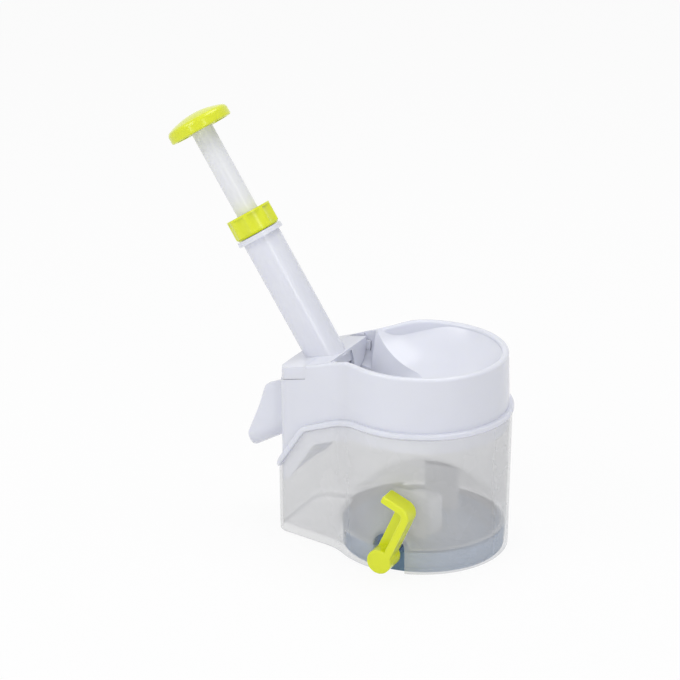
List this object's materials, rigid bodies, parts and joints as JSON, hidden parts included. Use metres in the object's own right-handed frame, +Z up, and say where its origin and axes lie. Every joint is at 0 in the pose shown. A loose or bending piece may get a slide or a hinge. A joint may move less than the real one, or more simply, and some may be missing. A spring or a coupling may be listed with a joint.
{
  "type": "cherry pitter with lever",
  "caption": "Hopper-fed cherry pitter: dished bowl and feed trough over a translucent stone bin, slanted spring plunger, side spout and lever-locked suction foot.",
  "frame": {"origin": "on the table, under the centre of the round end of the body", "axes": "+X from the neck and its spout towards the round end, -Y the side with the suction lever, +Z up"},
  "size_m": [0.2137, 0.1168, 0.2445],
  "materials": {
    "shell_white": "gloss",
    "accent_lime": "gloss",
    "bin_clear": "translucent satin",
    "foot_rubber": "matte",
    "post_plastic": "satin",
    "steel": "satin",
    "spring_steel": "bright",
    "silicone": "matte",
    "inner_plastic": "satin"
  },
  "bodies": {
    "base": {"container": "bin_clear", "suction_disc": "foot_rubber"},
    "suction_post": {"suction_post": "post_plastic"},
    "lever": {"lever": "accent_lime", "cam_axle": "steel", "retaining_clip": "steel"},
    "hopper": {"hopper_body": "shell_white", "cherry_seat": "silicone", "seat_retainer": "inner_plastic"},
    "barrel_unit": {"barrel_cover": "shell_white", "stripper": "inner_plastic", "spring_washer": "steel", "return_spring": "spring_steel", "guide_bush": "inner_plastic"},
    "collar": {"collar_nut": "accent_lime"},
    "plunger": {"palm_knob": "accent_lime", "plunger_tube": "shell_white", "pin_carrier": "inner_plastic", "pitting_pin": "steel", "cross_pin": "steel"}
  },
  "joints": [
    {"name": "lever_turn", "type": "hinge", "parent": "base", "child": "lever", "pos_m": [0.00324, -0.057, 0.0115], "axis": [0, 1, 0], "range_deg": [0, 66]},
    {"name": "post_lift", "type": "slide", "parent": "base", "child": "suction_post", "axis": [0, 0, 1], "range_m": [0, 0.002], "deforming": ["suction_disc"]},
    {"name": "hopper_lift", "type": "slide", "parent": "base", "child": "hopper", "axis": [0, 0, 1], "range_m": [0, 0.06]},
    {"name": "cover_lift", "type": "slide", "parent": "hopper", "child": "barrel_unit", "axis": [0, 0, 1], "range_m": [0, 0.04]},
    {"name": "collar_turn", "type": "hinge", "parent": "barrel_unit", "child": "collar", "pos_m": [-0.10894, 0, 0.17765], "axis": [-0.5402, 0, 0.8415], "range_deg": [0, 90]},
    {"name": "plunger_press", "type": "slide", "parent": "barrel_unit", "child": "plunger", "axis": [0.5402, 0, -0.8415], "range_m": [0, 0.048], "stiffness_N_per_m": 150, "springref_m": -0.02, "deforming": ["return_spring"]}
  ],
  "couplings": [
    {"joint": "lever_turn", "follows": "post_lift", "rad_per_m": 575}
  ]
}
